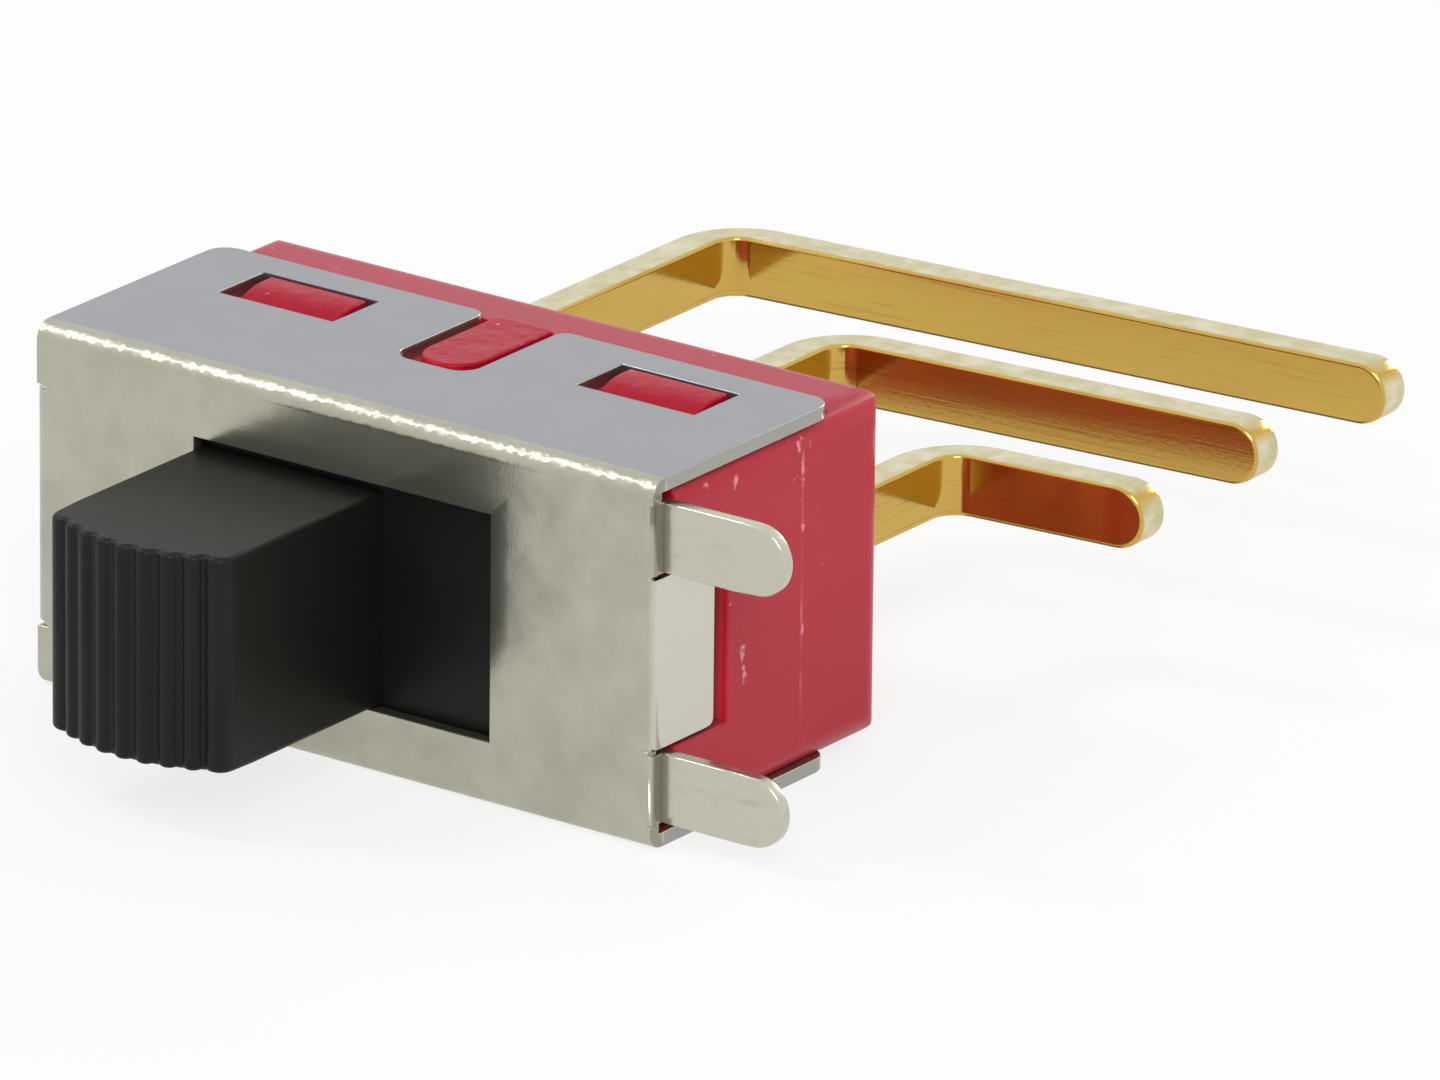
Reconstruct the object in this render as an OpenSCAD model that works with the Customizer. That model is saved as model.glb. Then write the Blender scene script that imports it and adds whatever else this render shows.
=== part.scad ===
// Sub-miniature slide switch, right-angle mounting, changeover contacts, slid to the left.
// +X points to the circuit board, +Y back from the front plate, +Z up.
// The origin is the point of the front plate's face on the switch's centre line, behind the knob.

/* [Frame] */
// Length of the frame and the case
length = 12.7; // [12:0.1:14]
// Height over the two flanges
height = 6.4; // [6.2:0.1:7.2]
// How far the flanges reach back
flange_depth = 5; // [4.8:0.1:5.3]
// Thickness of the sheet steel
sheet = 0.25; // [0.2:0.01:0.3]
// Outside radius of the bends
bend_r = 0.32; // [0.3:0.01:0.4]
// Radius of the flanges' rear corners
flange_corner_r = 0.42; // [0.2:0.02:0.6]
// Height of the slot
slot_h = 3.96; // [3.8:0.02:4.1]
// How far the slot lies below the middle
slot_drop = 0.06; // [0:0.01:0.12]

/* [Frame windows and notch] */
// Width of each snap window
window_w = 2.4; // [2:0.1:2.6]
// Depth of each snap window
window_d = 1.28; // [1:0.02:1.4]
// Distance of each window's middle from the middle of the switch
window_x = 3.72; // [3.5:0.02:3.9]
// Width of the strip that the flange keeps behind each window
window_rim = 0.68; // [0.5:0.02:0.8]
// Width of the keying notch
notch_w = 1.56; // [1.3:0.02:1.8]
// Length of the keying notch, from the flange's rear edge
notch_len = 2.64; // [2.2:0.02:2.8]
// Radius in the notch's closed corners
notch_r = 0.38; // [0.2:0.02:0.5]
// Radius at the notch's mouth
mouth_r = 0.25; // [0.1:0.01:0.3]

/* [Frame tabs and end flaps] */
// Width of each solder tab
tab_w = 1.22; // [1:0.02:1.3]
// How far the solder tabs reach past the end of the case
tab_len = 2.43; // [2:0.01:3.2]
// Distance of each tab from the flange's outer face
tab_inset = 0.42; // [0.3:0.02:0.5]
// How far the tabs are set back from the front plate's face
tab_set = 0.3; // [0.26:0.01:0.4]
// Radius of the corner at which each tab leaves the plate
tab_corner_r = 0.16; // [0.05:0.01:0.2]
// How far the end flaps reach back
flap_depth = 1.72; // [1.4:0.02:1.8]
// Inside radius of the end flaps' bends
flap_bend_in = 0.03; // [0.02:0.01:0.1]
// Radius of the end flaps' free corners
flap_corner_r = 0.14; // [0.05:0.01:0.3]
// Gap between each tab and the end flap that lies between the tabs
tab_slit = 0.08; // [0.06:0.01:0.4]
// How far that gap cuts into the end of the front plate
slit_depth = 0.08; // [0:0.01:0.2]
// Height of the end flap on the other end
far_flap_h = 4.1; // [3.6:0.1:4.4]
// How far that flap stands out past the plate's end
far_flap_out = 0.08; // [0:0.01:0.15]

/* [Case] */
// How far the case reaches back past the flanges
shoulder_d = 1.54; // [1:0.01:1.8]
// Thickness of the case's end walls
end_wall = 0.57; // [0.5:0.01:0.8]
// Radius of the case's four long corners
case_corner_r = 0.5; // [0.3:0.02:0.8]
// Radius of the case's rear edges
case_edge_r = 0.58; // [0.1:0.02:0.58]
// Height of the case's rear shoulder over the faces that carry the flanges
shoulder_h = 0.1; // [0.05:0.01:0.2]
// Thickness of the wall that carries the terminals, with the sealing recess
case_back_t = 1.79; // [1.3:0.01:1.9]
// Depth of the sealing recess in the back
recess_t = 0.45; // [0.3:0.05:0.5]
// Width of the rim round the sealing recess
rim_w = 0.62; // [0.6:0.01:0.7]
// Height of the sealing compound's crown over the case's back
seal_crown = 0.3; // [0.1:0.02:0.4]
// How far the compound climbs each terminal over its crown
collar_h = 0.25; // [0.1:0.05:0.5]

/* [Actuator] */
// Width of the knob along the slot
knob_w = 3.68; // [3.4:0.02:3.8]
// How much lower than its slot the knob is
knob_play = 0.22; // [0.1:0.02:0.4]
// How far the knob's side edges stand in front of the plate
knob_reach = 3.98; // [3:0.02:5]
// How far the knob's front bulges over its side edges
knob_bulge = 0.42; // [0.3:0.02:0.8]
// Radius of the knob's two front corners, which make its outermost ribs
knob_corner_r = 0.28; // [0.2:0.01:0.35]
// Number of finger ribs between the two corners
rib_count = 7; // [5:1:9]
// Radius of each finger rib
rib_r = 0.19; // [0.15:0.01:0.22]
// Thickness of the slider behind the plate
slider_t = 1; // [0.8:0.05:1.2]
// How far the slider laps behind the edges of the slot
slider_lap = 0.3; // [0.2:0.02:0.32]

/* [Contact mechanism] */
// Radius of the plunger
plunger_r = 0.8; // [0.7:0.02:0.9]
// Length of the plunger's straight shank
shank_len = 1.6; // [1.4:0.1:1.8]
// Distance of the rocker's pivot in front of the wall that carries the terminals
pivot_room = 1.25; // [1.1:0.01:1.4]
// Radius of the rocker's trunnions
trunnion_r = 0.24; // [0.2:0.01:0.28]
// Thickness of the rocker strip
rocker_t = 0.3; // [0.26:0.02:0.32]
// Width of the rocker strip
rocker_w = 1.6; // [1.4:0.1:1.8]
// How far each contact lies inside its terminal
contact_inset = 1.6; // [1.4:0.05:1.7]
// Angle that the rocker turns from one contact to the other
rocker_swing = 14; // [10:0.5:16]
// Radius of the rocker's contact tips
tip_r = 0.6; // [0.5:0.02:0.7]
// Height of the rocker's contact tips
tip_t = 0.25; // [0.2:0.01:0.28]

/* [Terminals] */
// Distance of each outer terminal's middle from the case's end wall
terminal_inset = 1.08; // [0.9:0.02:1.2]
// Width of the terminal strip
terminal_w = 1.1; // [0.9:0.01:1.15]
// Thickness of the terminal strip
terminal_t = 0.64; // [0.55:0.01:0.7]
// Distance of the near terminal's long leg behind the case
near_leg_gap = 3.96; // [3.5:0.01:5.5]
// Distance between neighbouring long legs
leg_pitch = 3.32; // [3:0.02:3.6]
// How far the long legs reach past the end of the case
leg_len = 2.1; // [1.5:0.05:3]
// How much farther the near leg reaches
near_leg_extra = 0.28; // [0:0.01:0.4]
// Angle by which the long legs spring open
leg_splay = 5.4; // [0:0.1:6]
// Inside radius of the terminal bends
leg_bend_r = 0.45; // [0.2:0.01:0.6]
// Outside radius of the terminal bends
leg_outer_r = 1.4; // [1.3:0.02:1.6]

/* [Hidden] */
$fn = 48;

// Clearances
gap = 0.05;
end_gap = 0.02;
tab_relief = 0.08;
flap_relief = 0.36;
rocker_end_gap = 0.1;
contact_rim = 0.1;
snap_gap = 0.2;
key_gap = 0.2;
nose_gap = 0.08;
running_gap = 0.05;
eps = 0.01;

// Frame
end_x = length / 2;
half_h = height / 2;
inner_h = half_h - sheet;
window_end_y = flange_depth - window_rim;
window_y = window_end_y - window_d;
notch_y = flange_depth - notch_len;
tab_pitch = height - tab_w - 2 * tab_inset;
near_flap_h = tab_pitch - tab_w - 2 * tab_slit;
stub_x = end_x - 1;
flap_bend_r = flap_bend_in + sheet;
far_face_x = end_x + far_flap_out;

// Case
case_back = flange_depth + shoulder_d;
floor_y = case_back - case_back_t;
recess_y = case_back - recess_t;
lip_depth = tab_set + sheet + 0.1;
lip_x = end_x - sheet - gap;
key_t = sheet - 0.03;
ramp_t = sheet - 0.02;
ramp_land = 0.3;
ramp_r = 1.2;
crown_inset = 0.05;
groove_depth = 0.085;

// Slider: it covers the slot all the way, so its travel is a third of the room that the knob and the laps leave
cavity_w = length - 2 * end_wall;
travel = (cavity_w - knob_w - 2 * slider_lap - 2 * gap - 2 * end_gap) / 3;
slot_w = knob_w + travel + 2 * end_gap;
slider_w = slot_w + travel + 2 * slider_lap;
slider_h = slot_h + 2 * slider_lap;
cavity_h = slider_h + 2 * gap;
slider_y = sheet + gap;
slider_back = slider_y + slider_t;
rest_x = -travel / 2;
knob_h = slot_h - knob_play;
knob_z = -slot_drop - knob_play / 2 + end_gap;

// Rocker and plunger
terminal_pitch = cavity_w / 2 - terminal_inset;
contact_x = terminal_pitch - contact_inset;
pivot_y = floor_y - pivot_room;
half_swing = rocker_swing / 2;
strip_front = pivot_y - rocker_t / 2;
rocker_reach = contact_x + tip_r + rocker_end_gap;
nose_y = strip_front - nose_gap;
shank_back = nose_y - plunger_r - shank_len;
bore_r = plunger_r + running_gap;
boss_wall = 0.4;
boss_r = bore_r + boss_wall;
boss_gap = 0.3;
boss_back = strip_front - boss_r * tan(half_swing) - boss_gap;
spring_len = 2.1;
bore_end = shank_back - spring_len;
spigot_r = 0.34;
spigot_len = 0.5;
spring_wire_r = 0.12;
spring_r = plunger_r - spring_wire_r - gap;
spring_turns = 6;

// Fixed contacts, feet and cradle
fixed_y = pivot_y + rocker_t / 2 + tip_t + end_gap;
fixed_r = tip_r + contact_rim;
foot_t = 0.45;
foot_y = floor_y - foot_t;
cradle_t = 0.25;
cradle_len = 1.3;
ear_gap = rocker_w / 2 + gap;
trunnion_root = 0.12;

// Terminals
leg_y = [for (i = [0:2]) case_back + near_leg_gap + i * leg_pitch];
tip_x = end_x + leg_len;

// A plate in the XZ plane: its 2-D child's Y is Z here, and it runs back from y0 to y1
module slab(y0, y1) {
    translate([0, y1, 0])
        rotate([90, 0, 0])
            linear_extrude(y1 - y0) children();
}

// A profile in the YZ plane, run along X from x0 to x1
module run(x0, x1) {
    translate([x0, 0, 0])
        rotate([90, 0, 90])
            linear_extrude(x1 - x0) children();
}

// A plan in the XY plane, run up from z0 to z1
module rise(z0, z1) {
    translate([0, 0, z0]) linear_extrude(z1 - z0) children();
}

// The child and its mirror image below
module above_and_below() {
    children();
    mirror([0, 0, 1]) children();
}

// A plan shape and its mirror image at the other end
module both_ends() {
    children();
    mirror([1, 0]) children();
}

// A rectangle about the origin with round corners
module rounded(w, h, r) {
    square([w - 2 * r, h], center = true);
    square([w, h - 2 * r], center = true);
    for (x = [-1, 1], y = [-1, 1])
        translate([x * (w / 2 - r), y * (h / 2 - r)]) circle(r);
}

// What a square corner at the origin loses when it is rounded, the corner pointing to +X +Y
module corner_waste(r) {
    difference() {
        translate([-r, -r]) square(r + eps);
        translate([-r, -r]) circle(r);
    }
}

// Plan of the keying notch in a flange, with its open end flared by two round corners
module notch_plan() {
    open_len = notch_len + notch_r;
    translate([0, notch_y + open_len / 2]) rounded(notch_w, open_len, notch_r);
    for (s = [-1, 1]) mirror([(1 - s) / 2, 0])
        translate([-notch_w / 2, flange_depth]) corner_waste(mouth_r);
}

// Section of the channel: front plate and two flanges with round bends
module channel_section() {
    difference() {
        union() {
            translate([bend_r, -half_h]) square([flange_depth - bend_r, height]);
            translate([0, bend_r - half_h]) square([bend_r + eps, height - 2 * bend_r]);
            for (s = [-1, 1]) translate([bend_r, s * (half_h - bend_r)]) circle(bend_r);
        }
        translate([sheet, -inner_h]) square([flange_depth, 2 * inner_h]);
    }
}

// Plan of an end flap: it leaves the front plate and turns back, with its outer face at x = face_x
module flap_plan(face_x) {
    turn_x = face_x - flap_bend_r;
    translate([stub_x, 0]) square([turn_x - stub_x, sheet]);
    translate([face_x - sheet, flap_bend_r]) square([sheet, flap_depth - flap_bend_r]);
    intersection() {
        translate([turn_x, 0]) square(flap_bend_r);
        translate([turn_x, flap_bend_r]) difference() {
            circle(flap_bend_r);
            circle(flap_bend_in);
        }
    }
}

// One end flap of height h, with round free corners
module end_flap(h, face_x) {
    difference() {
        rise(-h / 2, h / 2) flap_plan(face_x);
        above_and_below() run(face_x - sheet - eps, face_x + eps)
            translate([flap_depth, h / 2]) corner_waste(flap_corner_r);
    }
}

// Plan of a solder tab: it turns square back at the plate's end, then runs straight out
module tab_plan(tab_end) {
    difference() {
        union() {
            translate([stub_x, 0]) square([end_x - stub_x, sheet]);
            translate([end_x - sheet, 0]) square([sheet, tab_set + sheet]);
            translate([end_x - sheet, tab_set]) square([tab_end - end_x + sheet, sheet]);
        }
        translate([end_x, 0]) mirror([0, 1]) corner_waste(tab_corner_r);
    }
}

// One solder tab, at a height z, with a round end
module solder_tab(z) {
    tab_end = end_x + tab_len;
    intersection() {
        rise(z - tab_w / 2, z + tab_w / 2) tab_plan(tab_end);
        slab(-eps, tab_set + sheet + eps) translate([0, z]) {
            translate([0, -tab_w / 2]) square([tab_end - tab_w / 2, tab_w]);
            translate([tab_end - tab_w / 2, 0]) circle(tab_w / 2);
        }
    }
}

// What the front plate's end loses over a height h, so that tabs or a flap can leave it
module plate_relief(h, face_x) {
    translate([face_x - flap_bend_r, -eps, -h / 2]) cube([length, sheet + 2 * eps, h]);
}

module frame() {
    color([0.74, 0.74, 0.70]) {
        difference() {
            run(-end_x, end_x) channel_section();
            slab(-eps, sheet + eps) translate([0, -slot_drop]) square([slot_w, slot_h], center = true);
            above_and_below() rise(inner_h - eps, half_h + eps) {
                for (s = [-1, 1]) translate([s * window_x - window_w / 2, window_y])
                    square([window_w, window_d]);
                notch_plan();
                both_ends() translate([end_x, flange_depth]) corner_waste(flange_corner_r);
            }
            plate_relief(tab_pitch + tab_w, end_x);
            mirror([1, 0, 0]) plate_relief(far_flap_h + 2 * tab_relief, far_face_x);
        }
        end_flap(near_flap_h, end_x);
        mirror([1, 0, 0]) end_flap(far_flap_h, far_face_x);
        for (s = [-1, 1]) solder_tab(s * tab_pitch / 2);
        above_and_below() translate([stub_x, 0, near_flap_h / 2])
            cube([end_x - slit_depth - stub_x, sheet, tab_slit]);
    }
}

// One snap ramp: it swells towards the back and locks behind the window's rear edge
module snap_ramp() {
    ramp_w = window_w - 2 * snap_gap;
    ramp_y = window_y + gap;
    ramp_end = window_end_y - gap;
    translate([-ramp_w / 2, 0, 0]) run(0, ramp_w) intersection() {
        translate([ramp_y, inner_h - eps]) square([ramp_end - ramp_y, ramp_t + eps]);
        translate([ramp_end - ramp_land, inner_h + ramp_t - ramp_r]) {
            circle(ramp_r);
            square([ramp_land, ramp_r]);
        }
    }
}

// Plan of the key that fills the notch, joined to the rear shoulder
module key_plan() {
    key_w = notch_w - 2 * key_gap;
    key_y = notch_y + key_gap;
    translate([-key_w / 2, key_y + key_w / 2])
        square([key_w, flange_depth + gap + eps - key_y - key_w / 2]);
    translate([0, key_y + key_w / 2]) circle(key_w / 2);
}

// Side section of the case: the faces that carry the flanges, and the raised rear shoulder
module case_section() {
    top = inner_h + shoulder_h;
    translate([sheet, -inner_h]) square([case_back - sheet - case_edge_r, 2 * inner_h]);
    for (s = [-1, 1]) scale([1, s]) {
        translate([flange_depth + gap, 0]) square([case_back - flange_depth - gap - case_edge_r, top]);
        translate([case_back - case_edge_r, top - case_edge_r]) circle(case_edge_r);
    }
    translate([case_back - 2 * case_edge_r, -top + case_edge_r])
        square([2 * case_edge_r, 2 * (top - case_edge_r)]);
}

// Plan of the case, narrower at the front lip that the tabs step over
module case_plan() {
    translate([-lip_x, sheet]) square([2 * lip_x, lip_depth]);
    translate([-end_x, lip_depth]) square([length, case_back - case_edge_r - lip_depth]);
    translate([case_edge_r - end_x, lip_depth]) square([length - 2 * case_edge_r, case_back - lip_depth]);
    for (s = [-1, 1]) translate([s * (end_x - case_edge_r), case_back - case_edge_r]) circle(case_edge_r);
}

// The way through the back wall for one terminal
module terminal_slot(x) {
    translate([x - terminal_t / 2, floor_y - eps, -terminal_w / 2])
        cube([terminal_t, case_back_t, terminal_w]);
}

// The pocket for an end flap of height h, whose inner face lies on its floor
module flap_pocket(h, face_x) {
    translate([face_x - sheet, 0, -h / 2 - tab_relief])
        cube([sheet + eps, flap_depth + flap_relief, h + 2 * tab_relief]);
}

module case() {
    color([0.73, 0.20, 0.26]) {
        difference() {
            intersection() {
                slab(0, case_back + eps) rounded(length, 2 * (inner_h + shoulder_h), case_corner_r);
                run(-end_x, end_x) case_section();
                rise(-half_h, half_h) case_plan();
            }
            slab(sheet - eps, floor_y) translate([0, -slot_drop]) square([cavity_w, cavity_h], center = true);
            slab(recess_y, case_back + eps)
                rounded(length - 2 * rim_w, 2 * (inner_h - rim_w), case_corner_r);
            for (i = [-1:1]) terminal_slot(i * terminal_pitch);
            flap_pocket(near_flap_h, end_x);
            mirror([1, 0, 0]) flap_pocket(far_flap_h, far_face_x);
        }
        above_and_below() {
            for (s = [-1, 1]) translate([s * window_x, 0, 0]) snap_ramp();
            rise(inner_h - eps, inner_h + key_t) key_plan();
        }
    }
}

// The sealing compound: it fills the recess, bulges out of it in a low crown, and climbs each terminal a little
module epoxy_seal() {
    recess_w = length - 2 * rim_w;
    recess_h = 2 * (inner_h - rim_w);
    crown_w = length - 2 * (case_edge_r + crown_inset);
    crown_back = case_back + seal_crown;
    bow_r = (pow(recess_h / 2, 2) + pow(seal_crown, 2)) / (2 * seal_crown);
    sweep_r = (pow(crown_w / 2, 2) + pow(seal_crown / 3, 2)) / (2 * seal_crown / 3);
    color([0.45, 0.12, 0.12]) difference() {
        union() {
            slab(recess_y, case_back + eps) rounded(recess_w, recess_h, case_corner_r);
            intersection() {
                slab(case_back, crown_back) rounded(crown_w, recess_h, recess_h * 0.45);
                translate([-crown_w, crown_back - bow_r, 0])
                    rotate([0, 90, 0]) cylinder(h = 2 * crown_w, r = bow_r, $fn = 360);
                translate([0, crown_back - sweep_r, -height]) cylinder(h = 2 * height, r = sweep_r, $fn = 1440);
            }
            for (i = [-1:1]) translate([i * terminal_pitch, case_back + eps, 0])
                rotate([-90, 0, 0])
                    cylinder(h = seal_crown + collar_h, r1 = terminal_w * 0.85, r2 = terminal_w * 0.6);
        }
        for (i = [-1:1]) translate([i * terminal_pitch - terminal_t / 2, recess_y - eps, -terminal_w / 2])
            cube([terminal_t, case_back, terminal_w]);
    }
}

// Plan of the knob, centred on x = 0: straight sides, round front corners and a bowed, ribbed front
module knob_plan() {
    half = knob_w / 2 - knob_corner_r;
    corner_y = knob_corner_r - knob_reach;
    bow_r = (half * half + knob_bulge * knob_bulge) / (2 * knob_bulge);
    bow_y = -knob_reach - knob_bulge + bow_r;
    sweep = asin((half - knob_corner_r) / bow_r);
    intersection() {
        translate([-half, -knob_reach - knob_bulge]) square([2 * half, knob_reach + knob_bulge]);
        translate([0, bow_y]) circle(bow_r - groove_depth, $fn = 96);
    }
    translate([-knob_w / 2, corner_y]) square([knob_w, slider_y + eps - corner_y]);
    for (s = [-1, 1]) translate([s * half, corner_y]) circle(knob_corner_r);
    for (i = [0:rib_count - 1]) {
        a = -sweep + 2 * sweep * i / (rib_count - 1);
        translate([(bow_r - rib_r) * sin(a), bow_y - (bow_r - rib_r) * cos(a)]) circle(rib_r, $fn = 24);
    }
}

module actuator() {
    color([0.13, 0.13, 0.125]) translate([rest_x, 0, 0]) difference() {
        union() {
            rise(knob_z - knob_h / 2, knob_z + knob_h / 2) knob_plan();
            slab(slider_y, slider_back) translate([0, -slot_drop]) rounded(slider_w, slider_h, 0.2);
            translate([0, slider_back - eps, 0]) rotate([-90, 0, 0])
                cylinder(h = boss_back - slider_back + eps, r = boss_r);
        }
        translate([0, bore_end, 0]) rotate([-90, 0, 0]) cylinder(h = boss_back - bore_end + eps, r = bore_r);
    }
}

// The plunger: round nose, straight shank and a spigot that centres the spring
module plunger() {
    color([0.80, 0.66, 0.36]) translate([rest_x, nose_y - plunger_r, 0]) rotate([-90, 0, 0])
        rotate_extrude() {
            intersection() {
                circle(plunger_r);
                square([plunger_r, plunger_r]);
            }
            translate([0, -shank_len]) square([plunger_r, shank_len + eps]);
            translate([0, -shank_len - spigot_len]) square([spigot_r, spigot_len + eps]);
        }
}

// Rings of a coil of round wire about Z: each ring is the wire's section at one angle
function coil_point(a, b, r, w, rise_per_turn) =
    let (reach = r + w * cos(b)) [reach * cos(a), reach * sin(a), rise_per_turn * a / 360 + w * sin(b)];

module coil(turns, r, w, rise_per_turn) {
    steps = 14;
    sides = 8;
    rings = turns * steps;
    points = [for (i = [0:rings], j = [0:sides - 1])
        coil_point(360 * i / steps, 360 * j / sides, r, w, rise_per_turn)];
    first = [for (j = [0:sides - 1]) j];
    last = [for (j = [sides - 1:-1:0]) rings * sides + j];
    walls = [for (i = [0:rings - 1], j = [0:sides - 1])
        let (k = (j + 1) % sides)
        [i * sides + j, (i + 1) * sides + j, (i + 1) * sides + k, i * sides + k]];
    polyhedron(points, concat([first, last], walls));
}

module contact_spring() {
    coil_len = spring_len - 2 * spring_wire_r - 2 * end_gap;
    color([0.78, 0.78, 0.76])
        translate([rest_x, bore_end + spring_wire_r + end_gap, 0])
            rotate([-90, 0, 0])
                coil(spring_turns, spring_r, spring_wire_r, coil_len / spring_turns);
}

// Puts the child on the rocker as it lies with the knob to the left
module on_rocker() {
    translate([0, pivot_y, 0]) rotate([0, 0, -half_swing]) children();
}

// Puts the child on the rocker's arm: s is -1 for the left arm, 1 for the right
module on_arm(s) {
    on_rocker() rotate([0, 0, -s * half_swing]) children();
}

module rocker_contact() {
    arm_end = rocker_reach - rocker_w / 2;
    color([0.85, 0.68, 0.35]) {
        for (s = [-1, 1]) on_arm(s) slab(-rocker_t / 2, rocker_t / 2) {
            translate([s * arm_end / 2, 0]) square([arm_end, rocker_w], center = true);
            translate([s * arm_end, 0]) circle(rocker_w / 2);
        }
        translate([0, pivot_y, -rocker_w / 2]) cylinder(h = rocker_w, r = rocker_t / 2);
        above_and_below() translate([0, pivot_y, rocker_w / 2 - trunnion_root])
            cylinder(h = ear_gap + cradle_t - rocker_w / 2 + trunnion_root, r = trunnion_r);
    }
}

module rocker_tip(s) {
    color([0.86, 0.86, 0.84]) on_arm(s) translate([s * contact_x, rocker_t / 2, 0])
        rotate([-90, 0, 0]) cylinder(h = tip_t, r = tip_r);
}

module rocker_tip_left() { rocker_tip(-1); }

module rocker_tip_right() { rocker_tip(1); }

// The cradle: a folded saddle on the common terminal's foot, with a round seat in each ear
module pivot_cradle() {
    ear_front = pivot_y - trunnion_r * 0.4;
    color([0.82, 0.66, 0.34]) difference() {
        union() {
            translate([-cradle_len / 2, foot_y - cradle_t, -ear_gap - cradle_t])
                cube([cradle_len, cradle_t, 2 * (ear_gap + cradle_t)]);
            for (s = [-1, 1]) translate([-cradle_len / 2, ear_front, s * (ear_gap + cradle_t / 2) - cradle_t / 2])
                cube([cradle_len, foot_y - ear_front, cradle_t]);
        }
        translate([0, pivot_y, -half_h]) cylinder(h = height, r = trunnion_r + gap);
    }
}

module fixed_contact(s) {
    color([0.86, 0.86, 0.84]) translate([s * contact_x, fixed_y, 0])
        rotate([-90, 0, 0]) cylinder(h = foot_y - fixed_y, r = fixed_r);
}

module fixed_contact_left() { fixed_contact(-1); }

module fixed_contact_right() { fixed_contact(1); }

// All that lies under one face of a bent strip: the face runs back, turns with radius r about c, and runs out
module under_face(c, r) {
    far = 2 * length;
    translate(c) {
        circle(r);
        translate([-r, -far]) square([2 * far, far]);
        rotate(leg_splay) translate([0, -far]) square([far, far + r]);
    }
}

// Plan of a terminal at x whose long leg's middle lies y back, without its ends: what its two faces enclose
module terminal_plan(x, y) {
    turn_x = x + terminal_t / 2 + leg_bend_r;
    turn_y = y - terminal_t / 2 - leg_bend_r;
    fuller = leg_outer_r - leg_bend_r - terminal_t;
    difference() {
        under_face([turn_x + fuller, turn_y - fuller * (1 - sin(leg_splay)) / cos(leg_splay)], leg_outer_r);
        under_face([turn_x, turn_y], leg_bend_r);
    }
}

// One terminal: the bent strip from its foot to a round tip at tip_x, and the foot, which reaches to foot_x
module terminal(x, y, foot_x, tip_x) {
    color([0.80, 0.66, 0.30]) {
        intersection() {
            rise(-terminal_w / 2, terminal_w / 2) terminal_plan(x, y);
            slab(foot_y, y + 2 * leg_pitch) {
                translate([-length, -terminal_w / 2]) square([tip_x - terminal_w / 2 + length, terminal_w]);
                translate([tip_x - terminal_w / 2, 0]) circle(terminal_w / 2);
            }
        }
        rise(-terminal_w / 2, terminal_w / 2) translate([min(x, foot_x) - terminal_t / 2, foot_y])
            square([abs(x - foot_x) + terminal_t, foot_t]);
    }
}

module terminal_left() {
    terminal(-terminal_pitch, leg_y[2], -contact_x + fixed_r - terminal_t / 2, tip_x);
}

module terminal_common() {
    terminal(0, leg_y[1], cradle_len / 2 - terminal_t / 2, tip_x);
}

module terminal_right() {
    terminal(terminal_pitch, leg_y[0], contact_x - fixed_r + terminal_t / 2, tip_x + near_leg_extra);
}

frame();
case();
epoxy_seal();
actuator();
plunger();
contact_spring();
rocker_contact();
rocker_tip_left();
rocker_tip_right();
pivot_cradle();
fixed_contact_left();
fixed_contact_right();
terminal_left();
terminal_common();
terminal_right();
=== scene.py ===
"""Dresses a sub-miniature slide switch: rounded edges, procedural finishes, a pale studio and the camera."""
import logging
import math
from dataclasses import dataclass
from enum import Enum

import bmesh
import bpy
from mathutils import Matrix, Vector


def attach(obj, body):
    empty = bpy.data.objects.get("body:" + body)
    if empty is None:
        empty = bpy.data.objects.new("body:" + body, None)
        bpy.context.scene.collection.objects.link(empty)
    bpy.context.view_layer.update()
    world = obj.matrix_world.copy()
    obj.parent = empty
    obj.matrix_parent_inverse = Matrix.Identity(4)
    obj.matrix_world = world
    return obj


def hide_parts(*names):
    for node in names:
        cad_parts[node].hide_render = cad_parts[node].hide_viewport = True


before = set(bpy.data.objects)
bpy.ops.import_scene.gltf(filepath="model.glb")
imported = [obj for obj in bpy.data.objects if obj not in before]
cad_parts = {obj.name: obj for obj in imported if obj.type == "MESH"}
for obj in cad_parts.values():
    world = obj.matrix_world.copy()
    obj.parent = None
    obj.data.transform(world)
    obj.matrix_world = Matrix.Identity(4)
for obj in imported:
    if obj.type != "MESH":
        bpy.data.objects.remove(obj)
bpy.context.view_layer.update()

log = logging.getLogger("slide_switch")

MM = 0.001
WHITE = "#FFFFFF"

# Socket numbers of the Mix node when it mixes colours
MIX_FACTOR = 0
MIX_A = 6
MIX_B = 7
MIX_COLOUR = 2

# Points of a solid's mesh that are closer than this are one point, and faces that turn less than this are one face
WELD_MM = 0.0005
FLAT_ANGLE = 0.4

# How strongly the larger of two faces sets the normal between them
LARGER_FACE_WEIGHT = 100

# Where a fade starts and ends, and the same with the values that it starts and ends at
Band = tuple[float, float]
Fade = tuple[float, float, float, float]

# How far a surface has to turn towards an axis before it counts as facing that way, at first and then fully
FACING: Band = (0.6, 0.9)


class Body(Enum):
    """The rigid bodies that pieces ride on."""

    HOUSING = "housing"
    SLIDER = "slider"
    ROCKER = "rocker"


def linear(hex_code: str) -> tuple[float, float, float, float]:
    """Turns an sRGB hex colour into linear light.

    Args:
        hex_code: Six hex digits, with or without a leading hash.

    Returns:
        Linear red, green and blue, with an alpha of 1.
    """
    digits = hex_code.lstrip("#")
    channels = [int(digits[i:i + 2], 16) / 255 for i in (0, 2, 4)]
    light = [c / 12.92 if c <= 0.04045 else ((c + 0.055) / 1.055) ** 2.4 for c in channels]
    return light[0], light[1], light[2], 1.0


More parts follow.
